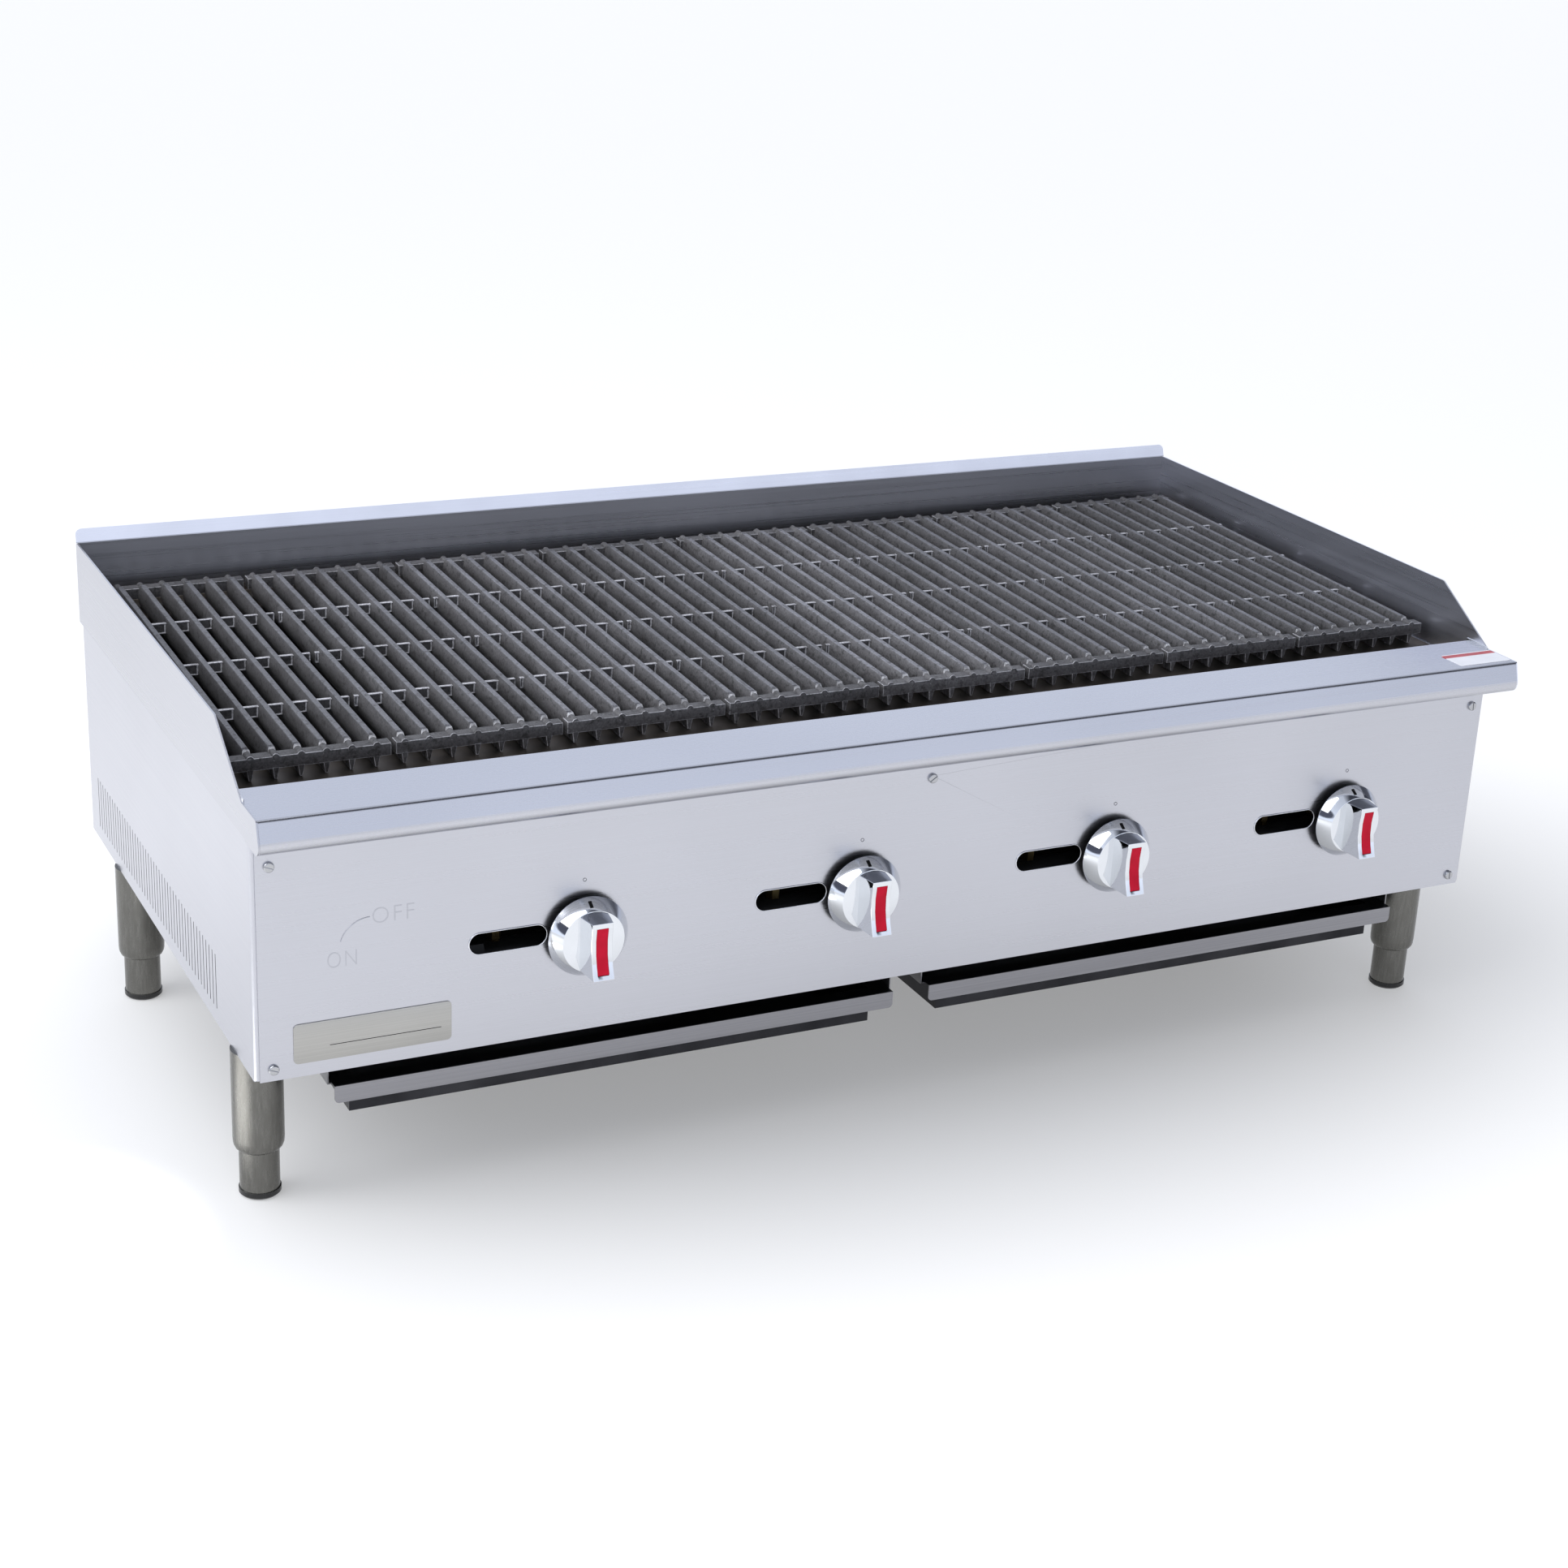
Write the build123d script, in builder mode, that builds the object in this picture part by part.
from build123d import *

import os
from math import cos, radians, sin, tan

# A countertop gas charbroiler, in millimetres.  +X is to the right, the front faces -Y and +Z is up.
# The origin is on the counter, below the middle of the whole object.
os.makedirs("parts", exist_ok=True)

# ---------------------------------------------------------------- driving dimensions
width = 1219.0            # across the splash guard
sheet = 1.2               # stainless sheet of the cabinet
splash_sheet = 1.5        # stainless sheet of the splash guard
gap = 0.3                 # clearance between a moving piece and what it rests on

cabinet_bottom = 134.8
panel_face = -288.5       # outer face of the front panel
back_face = 296.5         # outer face of the back
side_face = width / 2 - 2 * splash_sheet
side_bend = 3.0

splash_foot = 347.0       # lower edge of the splash guard's sides
splash_back_top = 425.0
splash_front_top = 421.5
splash_flange_rise = 13.5
splash_flange_lean = 4.3
slope_top_y = -204.8      # where the side's top edge turns down
slope_foot_y = -280.5     # where it meets the ledge

ledge_top = 374.5
ledge_back = -251.0
ledge_front = -322.0
nose_foot = 345.0
nose_lean = 8.1
nose_radius = 9.0

section_pitch = 258.8     # from one burner section to the next
section_count = 4
section_shift = -4.2      # the row of sections stands a little left of the middle
burner_half = 67.9        # each burner has two legs, this far from its centre line
control_height = 224.0    # knobs, valves and gas manifold
port_height = 228.3
port_length = 68.3
port_width = 19.2

grate_count = 8
grate_pitch = 151.2
grate_front = -192.0
grate_length = 464.0
grate_tilt = 1.38         # degrees, so that fat runs to the front
grate_top = 378.5         # top of the bars at the front
grate_left = -77.2        # ends of a casting's rails, from the middle of its place
grate_right = 69.6
bar_count = 7
bar_pitch = 21.2
bar_depth = 23.5
first_bar = grate_left + 7.4
bar_end = 10.5            # the bars stop this far inside the casting's ends
rail_drop = 3.5           # rails and ribs lie this far below the bars' tops
rail_height = 10.5
rail_width = 12.0
rib_width = 4.0
bump_radius = 3.4
bump_sink = 1.1

tray_half_gap = 18.5      # between the middle of the cabinet and a tray's lip
tray_lip_length = 518.5
tray_flange = 16.5
tray_top = 112.5
tray_bottom = 80.0
tray_lip_front = -274.0
tray_lip_drop = 15.5
tray_lip_depth = 15.0
tray_length = 500.0

leg_x = 587.9
leg_front_y = -223.2
leg_rear_y = 189.9
sleeve_radius = 21.6
sleeve_foot = 43.0
sleeve_round = 10.0
foot_radius = 16.9
foot_fit = 0.08           # radial clearance of a foot in its sleeve
foot_stem_top = 88.0

knob_standoff = 7.0
knob_radius = 35.6
knob_face_radius = 27.5
knob_face = 20.0          # distance of the knob's disc from the panel
grip_width = 18.3
grip_top = 24.0
grip_foot = -25.0
grip_reach_top = 39.0
grip_reach_foot = 44.0
stem_radius = 4.0
stem_fit = 0.06

burner_height = 232.0
burner_radius = 15.0
burner_wall = 1.5
radiant_foot = 252.0
radiant_peak = 300.0
radiant_sheet = 2.0

pipe_radius = 13.35       # three-quarter inch pipe
pipe_wall = 2.9
valve_half = 10.0
manifold_z = control_height - valve_half - pipe_radius
inlet_x = 586.0

section_steps = [number - (section_count - 1) / 2 for number in range(section_count)]
section_x = [section_shift + step * section_pitch for step in section_steps]
knob_x = [x + burner_half for x in section_x]
grate_x = [(number - (grate_count - 1) / 2) * grate_pitch for number in range(grate_count)]
panel_back = panel_face + sheet
back_inner = back_face - sheet
side_inner = side_face - sheet
splash_inner = width / 2 - splash_sheet
floor_foot = cabinet_bottom + sheet
floor_top = floor_foot + sheet


def save(piece, name):
    """Name a finished piece and write it out."""
    piece.part.label = name
    export_step(piece.part, f"parts/{name}.step")


# ---------------------------------------------------------------- splash guard
# Each side is one sheet.  It runs down the slope to the ledge and closes the end of its nose.
nose_tip = ledge_front - nose_lean
hem_rise = 7.0
hem_end = 8.0
for hand, name in ((-1, "splash_left"), (1, "splash_right")):
    with BuildPart() as splash_side:
        with BuildSketch(Plane.YZ.offset(hand * width / 2)):
            with BuildLine():
                FilletPolyline(
                    (panel_face, nose_foot),
                    (nose_tip, nose_foot),
                    (ledge_front, ledge_top),
                    (slope_foot_y, ledge_top),
                    (slope_top_y, splash_front_top),
                    (back_face, splash_back_top),
                    (back_face, splash_foot),
                    (panel_face, splash_foot),
                    radius=(nose_radius, 2.0, 4.0, 4.0, 4.0, 0.5),
                )
                Line((panel_face, splash_foot), (panel_face, nose_foot))
            make_face()
        extrude(amount=-hand * splash_sheet)
        with Locations((hand * (splash_inner - splash_sheet / 2), 0, splash_foot + hem_rise / 2)):
            hem_length = back_inner - panel_back - 2 * hem_end
            with Locations((0, (back_inner + panel_back) / 2, 0)):
                Box(splash_sheet, hem_length, hem_rise)
    save(splash_side, name)

# The back sheet stands between the sides, and its leaning flange covers their top corners.
splash_back_front = back_inner - splash_sheet
flange_corner = 6.0
flange_plane = Plane(
    (0, splash_back_front, splash_back_top),
    x_dir=(1, 0, 0),
    z_dir=(0, -splash_flange_rise, splash_flange_lean),
)
with BuildPart() as splash_back:
    splash_back_foot = splash_foot + hem_rise
    with Locations((0, splash_back_front + splash_sheet / 2, (splash_back_foot + splash_back_top) / 2)):
        Box(2 * splash_inner, splash_sheet, splash_back_top - splash_back_foot)
    with BuildSketch(flange_plane):
        with Locations((0, splash_flange_rise / 2)):
            flange_outline = Rectangle(width, splash_flange_rise)
        fillet(flange_outline.vertices().group_by(Axis.Y)[-1], radius=flange_corner)
    extrude(amount=-splash_sheet)
save(splash_back, "splash_back")

# ---------------------------------------------------------------- cabinet shell
screw_places = [(-591.4, 321.2), (591.4, 321.2), (-591.4, 144.9), (591.4, 144.9), (-0.8, 321.2)]
screw_radius = 2.0
screw_hole = 2.1
side_top = splash_foot + hem_rise
back_top = side_top + 13
side_flange = 24.0
vent_count = 44
vent_pitch = 10.1
vent_middle_y = 46.0
vent_middle_z = 174.0
vent_height = 50.0
vent_width = 1.6

# Each side is a sheet turned in behind the front panel and under the floor, with a row of vents.
for hand, name in ((-1, "cabinet_side_left"), (1, "cabinet_side_right")):
    with BuildPart() as cabinet_side:
        with BuildSketch(Plane.XY.offset(floor_foot)):
            with BuildLine():
                FilletPolyline(
                    (hand * (side_face - side_flange), panel_back + sheet / 2),
                    (hand * (side_face - sheet / 2), panel_back + sheet / 2),
                    (hand * (side_face - sheet / 2), back_inner),
                    radius=side_bend,
                )
            trace(line_width=sheet)
        extrude(amount=side_top - floor_foot)
        with BuildSketch(Plane.XY.offset(cabinet_bottom)):
            with Locations((hand * (side_face - side_flange / 2), (panel_back + side_bend + back_inner) / 2)):
                Rectangle(side_flange, back_inner - panel_back - side_bend)
        extrude(amount=sheet)
        with BuildSketch(Plane.YZ.offset(hand * (side_face + sheet))):
            with Locations((vent_middle_y, vent_middle_z)):
                with GridLocations(vent_pitch, 0, vent_count, 1):
                    Rectangle(vent_width, vent_height)
        extrude(amount=-hand * 4 * sheet, mode=Mode.SUBTRACT)
        with BuildSketch(Plane.XZ.offset(-panel_back - 2 * sheet)):
            with Locations(*[place for place in screw_places if place[0] * hand > 0]):
                Circle(screw_hole)
        extrude(amount=4 * sheet, mode=Mode.SUBTRACT)
    save(cabinet_side, name)

# The back closes the cabinet and has one hole, for the gas inlet.
inlet_hole = 16.0
with BuildPart() as cabinet_back:
    with BuildSketch(Plane.XZ.offset(-back_face)):
        with Locations((0, (cabinet_bottom + back_top) / 2)):
            Rectangle(2 * side_face, back_top - cabinet_bottom)
        with Locations((inlet_x, manifold_z)):
            Circle(inlet_hole, mode=Mode.SUBTRACT)
    extrude(amount=sheet)
save(cabinet_back, "cabinet_back")

# The floor has an opening over each drip tray.
floor_window_front = -262.0
floor_window_back = 214.0
window_inner_x = 42.0
window_outer_x = 512.0
window_x = (window_inner_x + window_outer_x) / 2
window_y = (floor_window_front + floor_window_back) / 2
floor_window = (window_outer_x - window_inner_x, floor_window_back - floor_window_front)
floor_front = panel_back + side_bend + sheet
with BuildPart() as cabinet_floor:
    with BuildSketch(Plane.XY.offset(floor_foot)):
        with Locations((0, (floor_front + back_inner) / 2)):
            Rectangle(2 * side_inner, back_inner - floor_front)
        with Locations((-window_x, window_y), (window_x, window_y)):
            RectangleRounded(*floor_window, 8.0, mode=Mode.SUBTRACT)
    extrude(amount=sheet)
save(cabinet_floor, "cabinet_floor")

# The front panel has a lighting port beside each knob, and a flange under the floor.
panel_half = 605.0
panel_top = 352.0
panel_flange = 16.0
stem_hole = 7.0
with BuildPart() as front_panel:
    with BuildSketch(Plane.XZ.offset(-panel_back)):
        with Locations((0, (cabinet_bottom + panel_top) / 2)):
            Rectangle(2 * panel_half, panel_top - cabinet_bottom)
        with Locations(*[(x, port_height) for x in section_x]):
            SlotOverall(port_length, port_width, mode=Mode.SUBTRACT)
        with Locations(*[(x, control_height) for x in knob_x]):
            Circle(stem_hole, mode=Mode.SUBTRACT)
        with Locations(*screw_places):
            Circle(screw_hole, mode=Mode.SUBTRACT)
    extrude(amount=sheet)
    flange_half = side_face - side_flange - gap
    with Locations((0, panel_back + panel_flange / 2 - sheet / 2, cabinet_bottom + sheet / 2)):
        Box(2 * flange_half, panel_flange + sheet, sheet)
save(front_panel, "front_panel")

# Slotted pan-head screws hold the panel.
head_radius = 4.5
head_height = 2.6
screw_reach = 7.0
with BuildPart() as panel_screws:
    with BuildSketch(Plane.XZ.offset(-panel_face)):
        with Locations(*screw_places):
            Circle(head_radius)
    extrude(amount=head_height)
    fillet(panel_screws.faces().sort_by(Axis.Y).group_by(Axis.Y)[0].edges(), radius=1.4)
    with BuildSketch(Plane.XZ.offset(-panel_face)):
        with Locations(*screw_places):
            Circle(screw_radius)
    extrude(amount=-screw_reach)
    with BuildSketch(Plane.XZ.offset(-panel_face + head_height)):
        with Locations(*[Location((x, z), 35 + 0.4 * x) for x, z in screw_places]):
            Rectangle(2.2 * head_radius, 1.1)
    extrude(amount=-1.0, mode=Mode.SUBTRACT)
save(panel_screws, "panel_screws")

# The ledge is one bent sheet: a lip into the firebox, the flat top, the nose and its return.
lip_foot = 356.0
return_top = 357.0
with BuildPart() as front_ledge:
    with BuildSketch(Plane.YZ.offset(-splash_inner)):
        with BuildLine():
            FilletPolyline(
                (ledge_back + sheet / 2, lip_foot),
                (ledge_back + sheet / 2, ledge_top - sheet / 2),
                (ledge_front, ledge_top - sheet / 2),
                (nose_tip, nose_foot + sheet / 2),
                (panel_face - sheet / 2, nose_foot + sheet / 2),
                (panel_face - sheet / 2, return_top),
                radius=(1.8, 2.5, nose_radius, 1.5),
            )
        trace(line_width=sheet)
    extrude(amount=2 * splash_inner)
save(front_ledge, "front_ledge")

# ---------------------------------------------------------------- firebox
grate_plane = Plane((0, grate_front, grate_top)).rotated((grate_tilt, 0, 0))
rise = tan(radians(grate_tilt))
bar_foot = grate_top - bar_depth
front_shelf_back = -164.0
front_shelf_top = bar_foot - gap
rear_shelf_front = 238.0
rear_shelf_top = bar_foot + (rear_shelf_front - grate_front) * rise - gap
shelf_turn = 15.0
liner_front = -216.0
liner_back = 262.0
liner_top = front_shelf_top - sheet
liner_half_top = 602.0
liner_half_foot = 545.0
inner_half = side_inner - gap
turn_half = 594.0         # the shelves' down-turned edges fit between the liner's sides

# The grates rest on a folded shelf at the front and on another at the back.
with BuildPart() as grate_rail_front:
    with BuildSketch(Plane.YZ.offset(-inner_half)):
        with BuildLine():
            FilletPolyline(
                (ledge_back + 1.5 * sheet, ledge_top - 4),
                (ledge_back + 1.5 * sheet, front_shelf_top - sheet / 2),
                (front_shelf_back - sheet / 2, front_shelf_top - sheet / 2),
                (front_shelf_back - sheet / 2, front_shelf_top - shelf_turn),
                radius=1.5,
            )
        trace(line_width=sheet)
    extrude(amount=2 * inner_half)
    notch = inner_half - turn_half
    with BuildSketch(Plane.XY.offset(front_shelf_top - sheet)):
        with Locations((-turn_half - notch / 2, front_shelf_back), (turn_half + notch / 2, front_shelf_back)):
            Rectangle(notch, 4 * sheet)
    extrude(amount=-shelf_turn, mode=Mode.SUBTRACT)
save(grate_rail_front, "grate_rail_front")

with BuildPart() as grate_rail_rear:
    with BuildSketch(Plane.YZ.offset(-inner_half)):
        with BuildLine():
            FilletPolyline(
                (rear_shelf_front + sheet / 2, rear_shelf_top - shelf_turn),
                (rear_shelf_front + sheet / 2, rear_shelf_top - sheet / 2),
                (splash_back_front - sheet / 2, rear_shelf_top - sheet / 2),
                (splash_back_front - sheet / 2, rear_shelf_top + shelf_turn / 2),
                radius=1.5,
            )
        trace(line_width=sheet)
    extrude(amount=2 * inner_half)
    notch = inner_half - turn_half
    with BuildSketch(Plane.XY.offset(rear_shelf_top - sheet)):
        with Locations((-turn_half - notch / 2, rear_shelf_front), (turn_half + notch / 2, rear_shelf_front)):
            Rectangle(notch, 4 * sheet)
    extrude(amount=-shelf_turn, mode=Mode.SUBTRACT)
save(grate_rail_rear, "grate_rail_rear")

# The liner is a box without top or floor, whose sides slope in towards the trays.  Its front
# wall is open in a band at burner height, for the burners' mouths and for lighting them.
band_half = 540.0
band_foot = 210.0
band_top = radiant_foot - sheet


def liner_outline(inset, overshoot):
    """Corners of the liner's front view, set in by a thickness and run past its ends."""
    slope = (liner_half_top - liner_half_foot) / (liner_top - floor_top)
    foot = liner_half_foot - inset - slope * overshoot
    head = liner_half_top - inset + slope * overshoot
    return [
        (-foot, floor_top - overshoot),
        (foot, floor_top - overshoot),
        (head, liner_top + overshoot),
        (-head, liner_top + overshoot),
    ]


with BuildPart() as firebox_liner:
    with BuildSketch(Plane.XZ.offset(-liner_back)):
        with BuildLine():
            Polyline(*liner_outline(0, 0), close=True)
        make_face()
    extrude(amount=liner_back - liner_front)
    with BuildSketch(Plane.XZ.offset(-liner_back + sheet)):
        with BuildLine():
            Polyline(*liner_outline(sheet, 5), close=True)
        make_face()
    extrude(amount=liner_back - liner_front - 2 * sheet, mode=Mode.SUBTRACT)
    with BuildSketch(Plane.XZ.offset(-liner_front - 2 * sheet)):
        with Locations((0, (band_foot + band_top) / 2)):
            Rectangle(2 * band_half, band_top - band_foot)
    extrude(amount=4 * sheet, mode=Mode.SUBTRACT)
save(firebox_liner, "firebox_liner")

# Angle strips on the liner's walls carry the radiants, and a cross angle carries the burners.
strip_width = 14.0
strip_half = 552.0
cross_y = 160.0
cross_half = 554.0
with BuildPart() as radiant_supports:
    for wall, inward in ((liner_front + sheet, 1), (liner_back - sheet, -1)):
        with BuildSketch(Plane.YZ.offset(-strip_half)):
            with BuildLine():
                Polyline(
                    (wall + inward * sheet / 2, radiant_foot + strip_width),
                    (wall + inward * sheet / 2, radiant_foot - sheet / 2),
                    (wall + inward * strip_width, radiant_foot - sheet / 2),
                )
            trace(line_width=sheet)
        extrude(amount=2 * strip_half)
save(radiant_supports, "radiant_supports")

cross_top = burner_height - burner_radius
with BuildPart() as burner_rest:
    with BuildSketch(Plane.YZ.offset(-cross_half)):
        with BuildLine():
            Polyline(
                (cross_y, cross_top - sheet),
                (cross_y + 20, cross_top - sheet),
                (cross_y + 20, cross_top - 20),
            )
        trace(line_width=2 * sheet)
    extrude(amount=2 * cross_half)
save(burner_rest, "burner_rest")

# ---------------------------------------------------------------- burners and radiants
burner_mouth = -226.0
burner_blind = -205.0
burner_turn = 170.0
bore_radius = burner_radius - burner_wall
shutter_radius = 18.5
shutter_length = 6.0
with BuildPart() as burner_tube:
    with BuildLine(Plane.XY.offset(burner_height)) as burner_route:
        Line((burner_half, burner_mouth), (burner_half, burner_turn))
        ThreePointArc(
            (burner_half, burner_turn),
            (0, burner_turn + burner_half),
            (-burner_half, burner_turn),
        )
        Line((-burner_half, burner_turn), (-burner_half, burner_blind))
    with BuildSketch(Plane((burner_half, burner_mouth, burner_height), x_dir=(1, 0, 0), z_dir=(0, 1, 0))):
        Circle(burner_radius)
        Circle(bore_radius, mode=Mode.SUBTRACT)
    sweep()
    with BuildSketch(Plane.XZ.offset(-burner_blind)):
        with Locations((-burner_half, burner_height)):
            Circle(burner_radius)
    extrude(amount=2 * sheet)
    with BuildSketch(Plane.XZ.offset(-burner_mouth)):
        with Locations((burner_half, burner_height)):
            Circle(shutter_radius)
            Circle(bore_radius, mode=Mode.SUBTRACT)
    extrude(amount=shutter_length)

radiant_front = liner_front + 3
radiant_back = liner_back - 3
with BuildPart() as radiant_plate:
    with BuildSketch(Plane.XZ.offset(-radiant_back)):
        with BuildLine():
            FilletPolyline(
                (-120, radiant_foot + radiant_sheet / 2),
                (-110, radiant_foot + radiant_sheet / 2),
                (-burner_half, radiant_peak),
                (-18, radiant_foot + radiant_sheet / 2),
                (18, radiant_foot + radiant_sheet / 2),
                (burner_half, radiant_peak),
                (110, radiant_foot + radiant_sheet / 2),
                (120, radiant_foot + radiant_sheet / 2),
                radius=(3, 6, 3, 3, 6, 3),
            )
        trace(line_width=radiant_sheet)
    extrude(amount=radiant_back - radiant_front)

for number, x in enumerate(section_x, start=1):
    with BuildPart() as burner:
        with Locations((x, 0, 0)):
            add(burner_tube.part)
    save(burner, f"burner_{number}")
    with BuildPart() as radiant:
        with Locations((x, 0, 0)):
            add(radiant_plate.part)
    save(radiant, f"radiant_{number}")

# ---------------------------------------------------------------- gas train
manifold_y = -253.0
manifold_left = -418.0
manifold_right = 556.0
manifold_bore = pipe_radius - pipe_wall
valve_front = -278.0
stem_reach = 8.0
stem_top = panel_face - knob_standoff - stem_reach
spud_radius = 5.0
spud_end = burner_mouth - shutter_length - 3

# The manifold runs along the front, from a hexagonal cap at the left to the inlet's elbow.
with BuildPart() as gas_manifold:
    with BuildSketch(Plane.YZ.offset(manifold_left)):
        with Locations((manifold_y, manifold_z)):
            Circle(pipe_radius)
            Circle(manifold_bore, mode=Mode.SUBTRACT)
    extrude(amount=manifold_right - manifold_left)
    with BuildSketch(Plane.YZ.offset(manifold_left)):
        with Locations((manifold_y, manifold_z)):
            RegularPolygon(pipe_radius + 3, 6)
    extrude(amount=14)
save(gas_manifold, "gas_manifold")

# Each valve sits on the manifold: body, outlet spud towards the burner and a bore for its stem.
with BuildPart() as valve_body:
    with Locations((0, (valve_front + manifold_y + valve_half) / 2, control_height)):
        Box(2 * valve_half, manifold_y + valve_half - valve_front, 2 * valve_half)
    fillet(valve_body.edges().filter_by(Axis.Y), radius=3)
    with BuildSketch(Plane.XZ.offset(-manifold_y - valve_half)):
        with Locations((0, control_height)):
            Circle(spud_radius)
    extrude(amount=-(spud_end - manifold_y - valve_half))
    with BuildSketch(Plane.XZ.offset(-valve_front)):
        with Locations((0, control_height)):
            Circle(stem_radius + stem_fit)
    extrude(amount=-22, mode=Mode.SUBTRACT)

# The stem turns in the valve, passes through the panel and carries the knob.
stem_back = valve_front + 21
with BuildPart() as stem_blank:
    with BuildSketch(Plane.XZ.offset(-stem_back)):
        with Locations((0, control_height)):
            Circle(stem_radius)
    extrude(amount=stem_back - stem_top)

# The knob: a tapered skirt, a flat disc and a grip bar with a flared foot, bored for the stem.
skirt_back = panel_face - knob_standoff
disc_y = panel_face - knob_face
with BuildPart() as knob_blank:
    with BuildSketch(Plane.YZ):
        with BuildLine():
            Polyline(
                (skirt_back, control_height),
                (skirt_back, control_height + knob_radius),
                (skirt_back - 2, control_height + knob_radius),
                (disc_y, control_height + knob_face_radius),
                (disc_y, control_height),
                close=True,
            )
        make_face()
    revolve(axis=Axis((0, 0, control_height), (0, 1, 0)))
    with BuildSketch(Plane.YZ.offset(-grip_width / 2)):
        with BuildLine():
            Polyline(
                (disc_y + 2, control_height + grip_top),
                (panel_face - grip_reach_top, control_height + grip_top),
                (panel_face - grip_reach_top + 2, control_height + 6),
                (panel_face - grip_reach_foot + 5, control_height + grip_foot + 5),
                (panel_face - grip_reach_foot, control_height + grip_foot),
                (disc_y + 4, control_height + grip_foot),
                close=True,
            )
        make_face()
    extrude(amount=grip_width)
    insert_length = 39.0
    insert_width = 10.5
    insert_middle = control_height - 0.5
    insert_depth = 1.2
    with BuildSketch(Plane.XZ.offset(-panel_face + grip_reach_foot)):
        with Locations((0, insert_middle)):
            Rectangle(insert_width, insert_length)
    extrude(amount=-(grip_reach_foot - grip_reach_top + 4), mode=Mode.SUBTRACT)
    with BuildSketch(Plane.XZ.offset(-skirt_back)):
        with Locations((0, control_height)):
            Circle(stem_radius)
    extrude(amount=stem_reach, mode=Mode.SUBTRACT)

# The coloured strip fills the pocket in the grip's front.
strip_back = panel_face - grip_reach_top + 4
with BuildPart() as insert_blank:
    with Locations((0, strip_back - 1.2, insert_middle)):
        Box(insert_width - 0.2, 2.4, insert_length - 0.2)
    fillet(insert_blank.edges().filter_by(Axis.Y), radius=1.5)

for number, x in enumerate(knob_x, start=1):
    for blank, name in (
        (valve_body, "gas_valve"),
        (stem_blank, "valve_stem"),
        (knob_blank, "knob"),
        (insert_blank, "knob_insert"),
    ):
        with BuildPart() as control:
            with Locations((x, 0, 0)):
                add(blank.part)
        save(control, f"{name}_{number}")

# A small pilot stands behind each lighting port, fed by a thin tube from the manifold.
pilot_y = -240.0
pilot_tube = 2.4
with BuildPart() as pilot_assembly:
    for x in section_x:
        with BuildSketch(Plane.XY.offset(manifold_z + pipe_radius)):
            with Locations((x, manifold_y)):
                RegularPolygon(6.5, 6)
        extrude(amount=10)
        with BuildLine(Plane.YZ.offset(x)):
            FilletPolyline(
                (manifold_y, manifold_z + pipe_radius + 9),
                (manifold_y, port_height + 10),
                (pilot_y + 8, port_height + 10),
                radius=6,
            )
        with BuildSketch(Plane.XY.offset(manifold_z + pipe_radius + 9)):
            with Locations((x, manifold_y)):
                Circle(pilot_tube)
        sweep()
        with BuildSketch(Plane.XZ.offset(-pilot_y)):
            with Locations((x, port_height + 10)):
                Circle(5.0)
        extrude(amount=-18)
save(pilot_assembly, "pilot_assembly")

# ---------------------------------------------------------------- grates
with BuildSketch() as bar_profile:
    with BuildLine():
        half_profile = Polyline(
            (0, 0),
            (2.2, 0),
            (2.8, -0.8),
            (4.6, -10),
            (4.6, -14),
            (1.9, -bar_depth + 1),
            (1.2, -bar_depth),
            (0, -bar_depth),
        )
        mirror(half_profile, about=Plane.YZ)
    make_face()

bar_x = [first_bar + number * bar_pitch for number in range(bar_count)]
casting_middle = (grate_left + grate_right) / 2
casting_width = grate_right - grate_left
rib_places = [grate_length * quarter / 4 for quarter in (1, 2, 3)]
end_places = [rail_width / 2, grate_length - rail_width / 2]


def across_grate(distance):
    """A plane across the bars, this far behind the casting's front, facing the front."""
    corner = grate_plane.from_local_coords(Vector(0, distance, 0))
    return Plane(corner, x_dir=(1, 0, 0), z_dir=-grate_plane.y_dir)


with BuildPart() as grate_casting:
    with BuildSketch(across_grate(grate_length - bar_end)):
        with Locations(*[(x, 0) for x in bar_x]):
            add(bar_profile.sketch)
    extrude(amount=grate_length - 2 * bar_end)
    with BuildSketch(grate_plane.offset(-rail_drop)):
        with Locations(*[(casting_middle, y) for y in end_places]):
            Rectangle(casting_width, rail_width)
    extrude(amount=-rail_height)
    with BuildSketch(grate_plane.offset(-rail_drop)):
        with Locations(*[(casting_middle, y) for y in rib_places]):
            Rectangle(casting_width, rib_width)
    extrude(amount=-rail_height)
    for start in (rail_width, grate_length):
        with BuildSketch(across_grate(start)):
            with Locations(*[(x, -rail_drop - bump_sink) for x in bar_x]):
                Circle(bump_radius)
        extrude(amount=rail_width)
        with BuildSketch(across_grate(start)):
            with Locations(*[(x, -rail_drop - rail_height - 2) for x in bar_x]):
                Trapezoid(6.5, 2 * (bar_depth - rail_drop - rail_height - 2), 80, rotation=180)
        extrude(amount=rail_width)

for number, x in enumerate(grate_x, start=1):
    with BuildPart() as grate:
        with Locations((x, 0, 0)):
            add(grate_casting.part)
    save(grate, f"grate_{number}")

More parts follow.
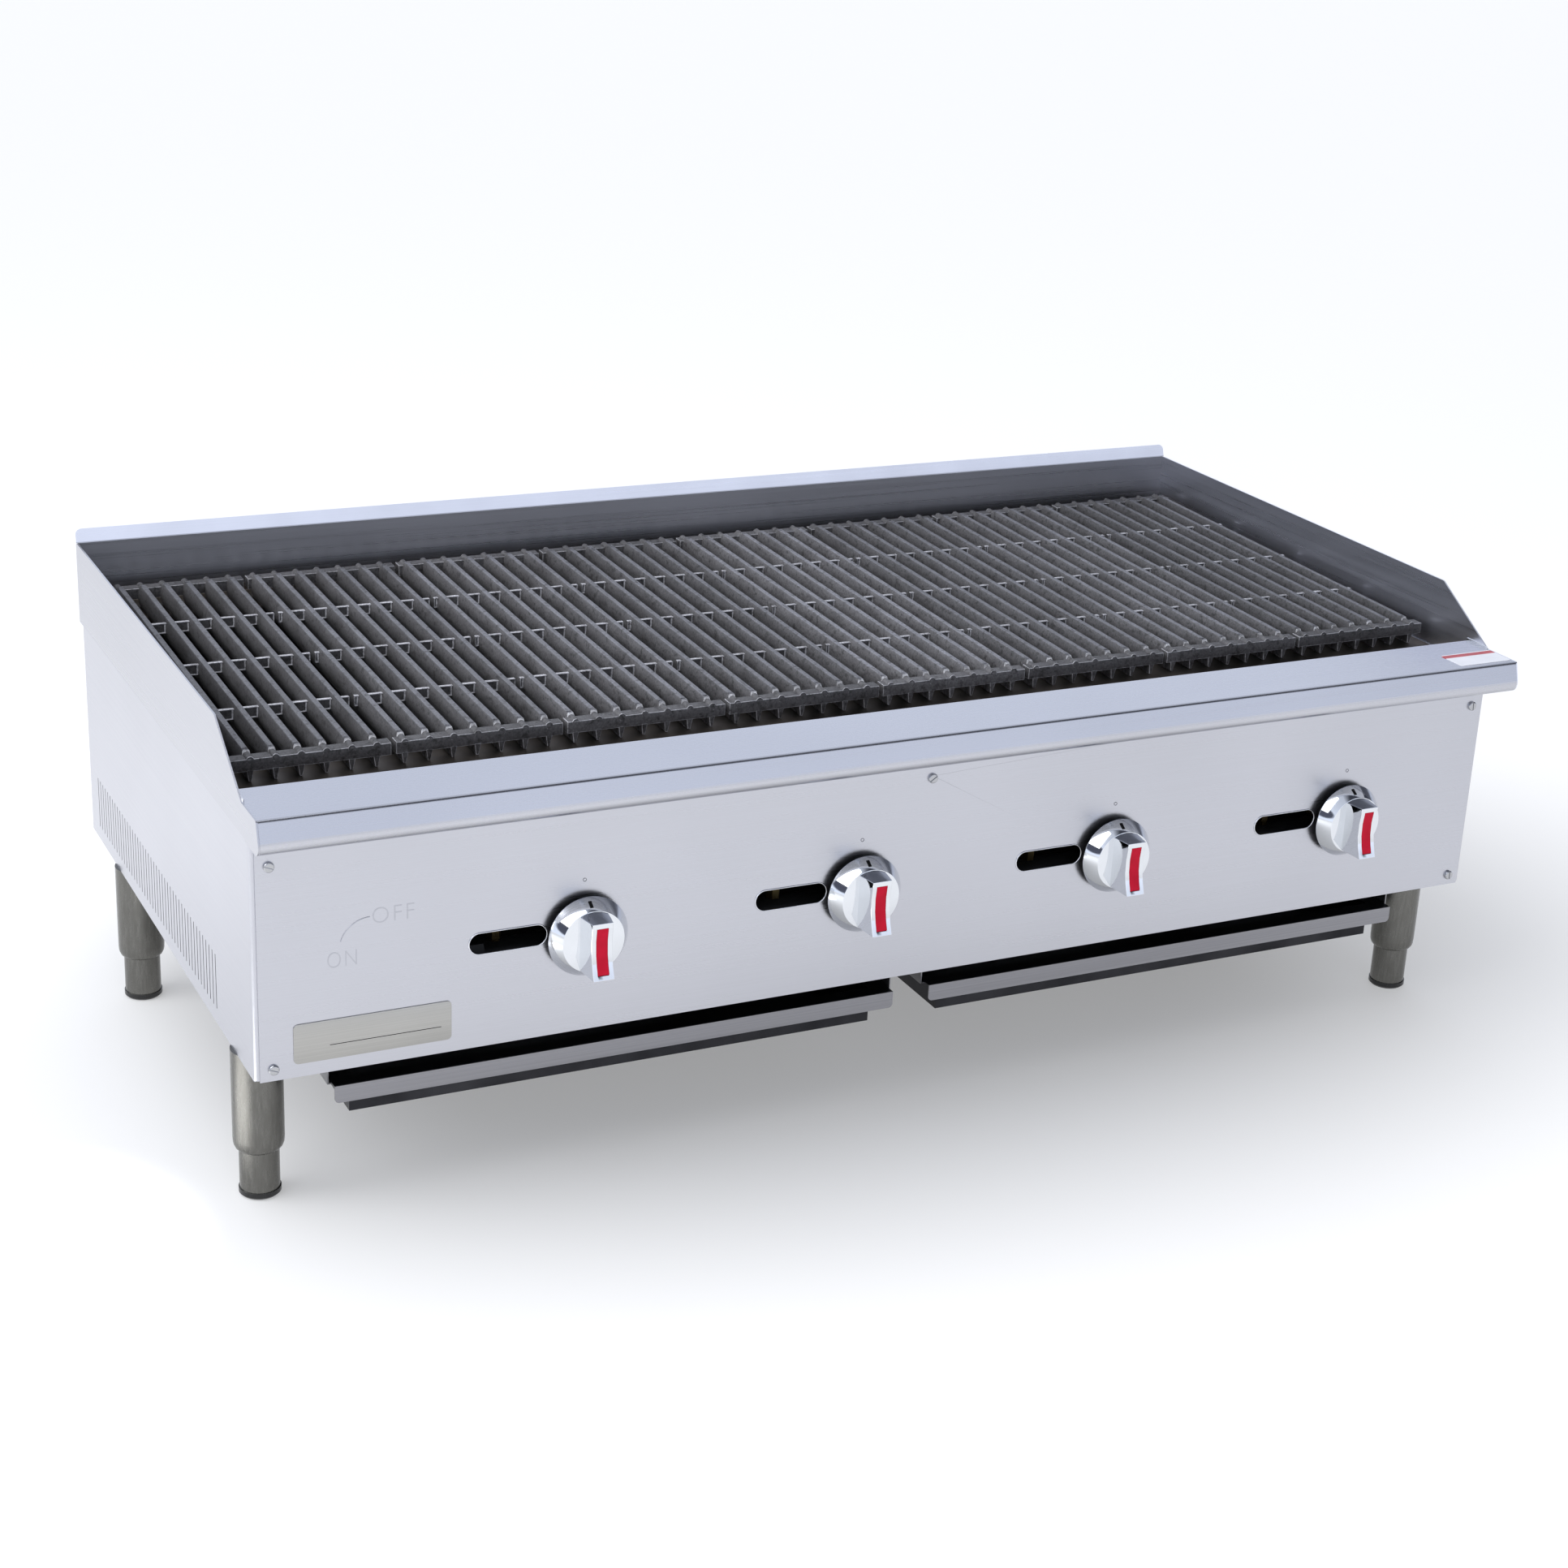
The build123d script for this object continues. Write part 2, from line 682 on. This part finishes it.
# ---------------------------------------------------------------- drip trays and their rails
pan_front = tray_lip_front + tray_lip_depth
pan_back = pan_front + tray_length
rail_top = tray_top - sheet - gap
for hand, name in ((-1, "drip_tray_left"), (1, "drip_tray_right")):
    middle = hand * (tray_half_gap + tray_lip_length / 2)
    pan_width = tray_lip_length - 2 * tray_flange
    with BuildPart() as tray:
        with BuildSketch(Plane.XY.offset(tray_bottom)):
            with Locations((middle, (pan_front + pan_back) / 2)):
                Rectangle(pan_width, tray_length)
        extrude(amount=tray_top - tray_bottom)
        with BuildSketch(Plane.XY.offset(tray_top)):
            with Locations((middle, (tray_lip_front + pan_back) / 2)):
                Rectangle(tray_lip_length, pan_back - tray_lip_front)
        extrude(amount=-sheet)
        with BuildSketch(Plane.XY.offset(tray_top)):
            with Locations((middle, (pan_front + pan_back) / 2)):
                Rectangle(pan_width - 2 * sheet, tray_length - 2 * sheet)
        extrude(amount=-(tray_top - tray_bottom - sheet), mode=Mode.SUBTRACT)
        with BuildSketch(Plane.XZ.offset(-tray_lip_front)):
            with Locations((middle, tray_top - tray_lip_drop / 2)):
                Rectangle(tray_lip_length, tray_lip_drop)
        extrude(amount=-sheet)
        lip_edges = tray.edges().filter_by(Axis.Y).filter_by(lambda e: abs(e.length - sheet) < 0.01)
        fillet(lip_edges.group_by(Axis.Z)[0], radius=4)
    save(tray, name)

# Folded rails hang from the floor on both sides of each tray and carry its flanges.
rail_foot = rail_top - sheet
rail_front = tray_lip_front + 11
rail_back = 262.0
rail_lap = 10.0
with BuildPart() as tray_rails:
    for hand in (-1, 1):
        inner_wall = tray_half_gap - 2 * sheet
        outer_wall = tray_half_gap + tray_lip_length + 2 * sheet
        for wall, towards in ((inner_wall, 1), (outer_wall, -1)):
            with BuildSketch(Plane.XZ.offset(-rail_back)):
                with BuildLine():
                    Polyline(
                        (hand * (wall + towards * rail_lap), rail_foot + sheet / 2),
                        (hand * wall, rail_foot + sheet / 2),
                        (hand * wall, cabinet_bottom - sheet / 2),
                        (hand * (wall - towards * rail_lap), cabinet_bottom - sheet / 2),
                    )
                trace(line_width=sheet)
            extrude(amount=rail_back - rail_front)
save(tray_rails, "tray_rails")

# ---------------------------------------------------------------- legs
leg_places = [
    (-leg_x, leg_front_y),
    (leg_x, leg_front_y),
    (-leg_x, leg_rear_y),
    (leg_x, leg_rear_y),
]
bore = foot_radius + foot_fit
with BuildPart() as leg_blank:
    with BuildSketch(Plane.XZ):
        with BuildLine():
            Bezier(
                (bore, sleeve_foot),
                (sleeve_radius, sleeve_foot),
                (sleeve_radius, sleeve_foot + sleeve_round),
            )
            Polyline(
                (sleeve_radius, sleeve_foot + sleeve_round),
                (sleeve_radius, cabinet_bottom),
                (0, cabinet_bottom),
                (0, foot_stem_top + 6),
                (bore, foot_stem_top + 6),
                (bore, sleeve_foot),
            )
        make_face()
    revolve(axis=Axis.Z)

with BuildPart() as leg_sleeves:
    with Locations(*[(x, y, 0) for x, y in leg_places]):
        add(leg_blank.part)
save(leg_sleeves, "leg_sleeves")

cap_height = 6.0
cap_radius = foot_radius + 0.9
with BuildPart() as foot_blank:
    with BuildSketch(Plane.XZ):
        with BuildLine():
            Polyline(
                (0, 0),
                (cap_radius - 2, 0),
                (cap_radius, 2),
                (cap_radius, cap_height),
                (foot_radius, cap_height),
                (foot_radius, foot_stem_top),
                (0, foot_stem_top),
                close=True,
            )
        make_face()
    revolve(axis=Axis.Z)

for number, (x, y) in enumerate(leg_places, start=1):
    with BuildPart() as foot:
        with Locations((x, y, 0)):
            add(foot_blank.part)
    save(foot, f"foot_{number}")

# ---------------------------------------------------------------- plates
plate_thickness = 0.8
with BuildPart() as nameplate:
    with BuildSketch(Plane.XZ.offset(-panel_face)):
        with Locations((-508.2, 164.0)):
            RectangleRounded(133.3, 35.1, 4.0)
    extrude(amount=plate_thickness)
save(nameplate, "nameplate")

label_thickness = 0.3
with BuildPart() as warning_label:
    with BuildSketch(Plane.XY.offset(ledge_top)):
        with Locations((578.0, -300.0)):
            RectangleRounded(59.0, 32.0, 3.0)
    extrude(amount=label_thickness)
save(warning_label, "warning_label")

# ---------------------------------------------------------------- gas inlet
# The inlet pipe runs back beside the firebox.  Its threaded end stands as far behind the origin as
# the knobs stand in front of it.
inlet_end = -panel_face + grip_reach_foot
elbow_radius = 24.0
collar_radius = 17.0
collar_length = 12.0
thread_radius = 12.9
thread_length = 25.0
with BuildPart() as gas_inlet_pipe:
    with BuildLine(Plane.XY.offset(manifold_z)) as inlet_route:
        FilletPolyline(
            (manifold_right, manifold_y),
            (inlet_x, manifold_y),
            (inlet_x, inlet_end - thread_length),
            radius=elbow_radius,
        )
    with BuildSketch(Plane.YZ.offset(manifold_right)):
        with Locations((manifold_y, manifold_z)):
            Circle(pipe_radius)
            Circle(manifold_bore, mode=Mode.SUBTRACT)
    sweep()
    with BuildSketch(Plane.XZ.offset(-manifold_y - elbow_radius)):
        with Locations((inlet_x, manifold_z)):
            Circle(collar_radius)
            Circle(manifold_bore, mode=Mode.SUBTRACT)
    extrude(amount=-collar_length)
    with BuildSketch(Plane.XZ.offset(-inlet_end)):
        with Locations((inlet_x, manifold_z)):
            Circle(thread_radius)
            Circle(manifold_bore, mode=Mode.SUBTRACT)
    extrude(amount=thread_length)
save(gas_inlet_pipe, "gas_inlet_pipe")
